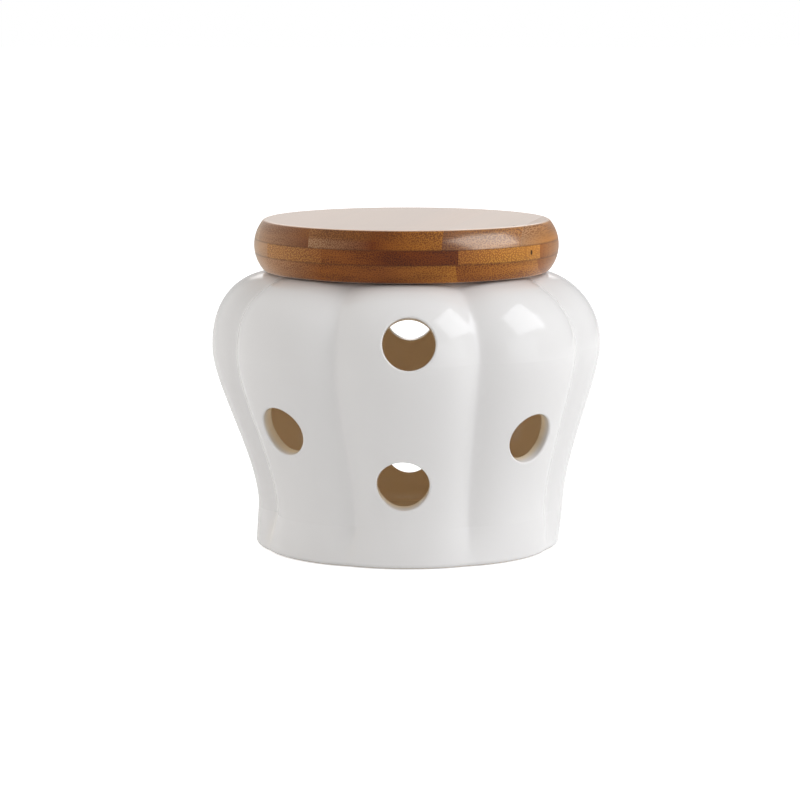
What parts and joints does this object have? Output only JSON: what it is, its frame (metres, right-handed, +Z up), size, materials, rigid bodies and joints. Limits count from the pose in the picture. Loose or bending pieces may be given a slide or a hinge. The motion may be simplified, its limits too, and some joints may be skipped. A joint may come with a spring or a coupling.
{
  "type": "garlic keeper",
  "caption": "Lobed round ceramic garlic keeper with round air vents, closed by a turned laminated bamboo lid whose plug carries a silicone seal.",
  "frame": {"origin": "centre of the foot ring, on the plane that the jar stands on", "axes": "+Z up along the axis of the jar and lid, -Y the front with two vents in one lobe, +X to the right seen from the front"},
  "size_m": [0.1216, 0.121, 0.102],
  "materials": {
    "glaze": "glossy white glaze outside, tan glaze inside",
    "bamboo_light": "satin lacquer over carbonised bamboo, pale strip",
    "bamboo_warm": "satin lacquer over carbonised bamboo",
    "bamboo_mid": "satin lacquer over carbonised bamboo, greyer strip",
    "bamboo_dark": "satin lacquer over carbonised bamboo, dark strip",
    "silicone": "matt translucent silicone"
  },
  "bodies": {
    "jar": {"jar": "glaze"},
    "seal": {"seal_ring": "silicone"},
    "lid": {"lid_top_strip_1": "bamboo_mid", "lid_top_strip_2": "bamboo_mid", "lid_top_strip_3": "bamboo_mid", "lid_top_strip_4": "bamboo_warm", "lid_top_strip_5": "bamboo_warm", "lid_top_strip_6": "bamboo_light", "lid_core_strip_1": "bamboo_warm", "lid_core_strip_2": "bamboo_warm", "lid_core_strip_3": "bamboo_dark", "lid_core_strip_4": "bamboo_dark", "lid_core_strip_5": "bamboo_light", "lid_core_strip_6": "bamboo_warm", "lid_bottom_strip_1": "bamboo_warm", "lid_bottom_strip_2": "bamboo_warm", "lid_bottom_strip_3": "bamboo_mid", "lid_bottom_strip_4": "bamboo_mid", "lid_bottom_strip_5": "bamboo_warm", "lid_bottom_strip_6": "bamboo_warm", "plug_strip_1": "bamboo_warm", "plug_strip_2": "bamboo_mid", "plug_strip_3": "bamboo_warm", "plug_strip_4": "bamboo_mid"}
  },
  "joints": [
    {"name": "lid_lift", "type": "slide", "parent": "jar", "child": "seal", "axis": [0, 0, 1], "range_m": [0, 0.05]},
    {"name": "lid_turn", "type": "hinge", "parent": "seal", "child": "lid", "pos_m": [0, 0, 0.08605], "axis": [0, 0, 1], "continuous": true}
  ]
}
